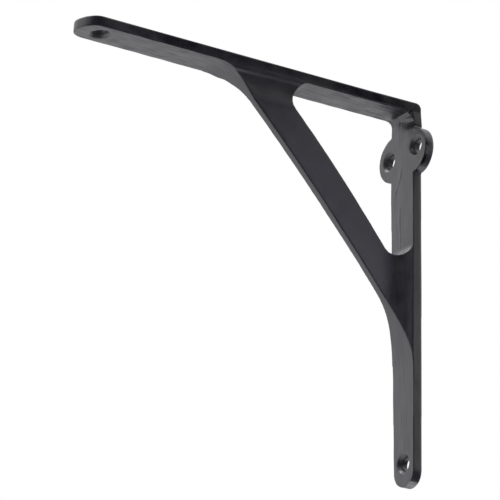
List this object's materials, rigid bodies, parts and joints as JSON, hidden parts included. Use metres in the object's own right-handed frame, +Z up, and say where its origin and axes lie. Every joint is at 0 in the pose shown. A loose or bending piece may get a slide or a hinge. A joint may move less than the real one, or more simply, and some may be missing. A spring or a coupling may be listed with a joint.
{
  "type": "shelf bracket",
  "caption": "Cast iron shelf bracket in satin black: a shelf arm, a wall arm with screw ears near the corner, and a gently bowed diagonal strut on a thin flared web.",
  "frame": {"origin": "on the wall face of the wall arm, midway between the two ear holes", "axes": "+X out from the wall along the shelf arm, +Y across the bracket, +Z up toward the face that the shelf lies on"},
  "size_m": [0.195, 0.0392, 0.2],
  "materials": {
    "cast_iron": "satin black paint over a fine cast skin"
  },
  "bodies": {
    "root": {"bracket": "cast_iron"}
  },
  "joints": []
}
